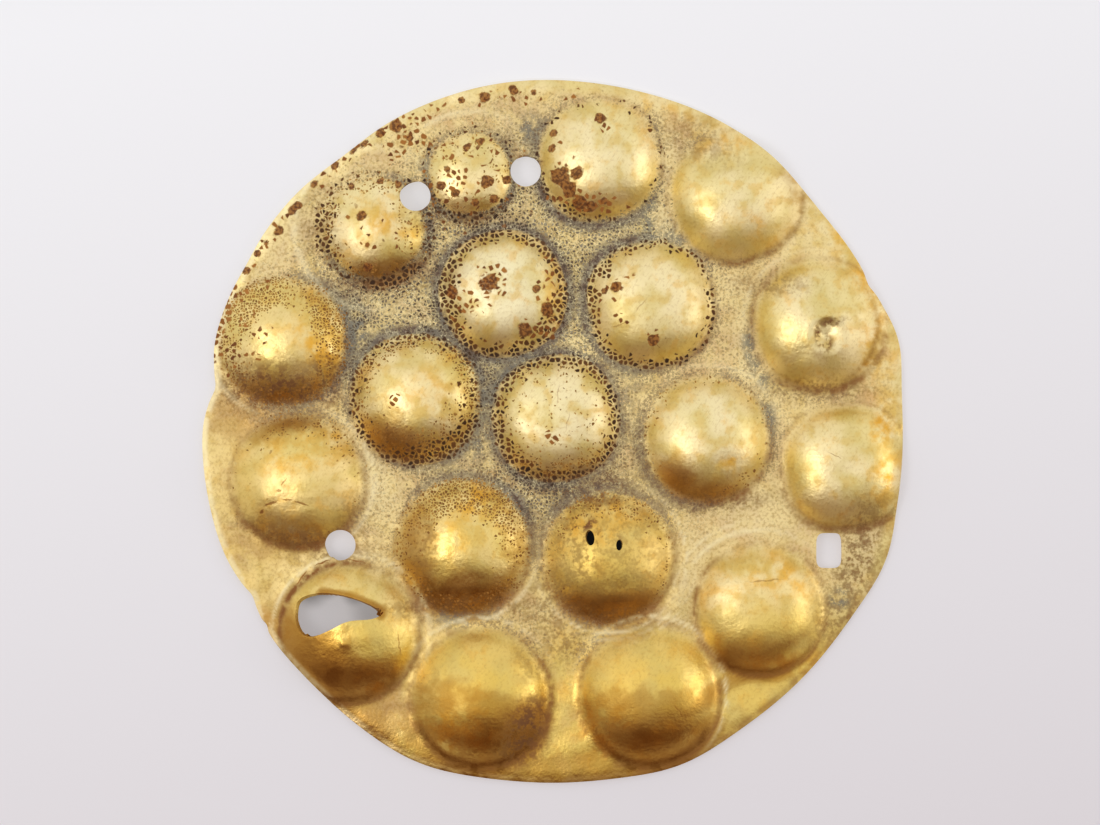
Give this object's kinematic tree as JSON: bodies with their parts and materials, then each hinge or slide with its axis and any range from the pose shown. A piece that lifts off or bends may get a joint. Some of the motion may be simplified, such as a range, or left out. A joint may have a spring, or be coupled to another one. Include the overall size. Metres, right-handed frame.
{
  "type": "embossed disc pendant",
  "caption": "Thin gold disc with round bosses raised in two rings about a middle one, pierced by punched thread holes, worn as a pendant; the edge is battered and one boss is torn.",
  "frame": {"origin": "on the surface that the disc lies on, under the middle of its edge circle", "axes": "+Z out of the embossed front, +Y towards the pair of thread holes at the top, +X to the right as seen from the front"},
  "size_m": [0.06, 0.0602, 0.0041],
  "materials": {
    "old_gold": "worn hammered gold, burnished on the bosses, with grey soil film and brown specks in the hollows"
  },
  "bodies": {
    "root": {"embossed_disc": "old_gold"}
  },
  "joints": []
}
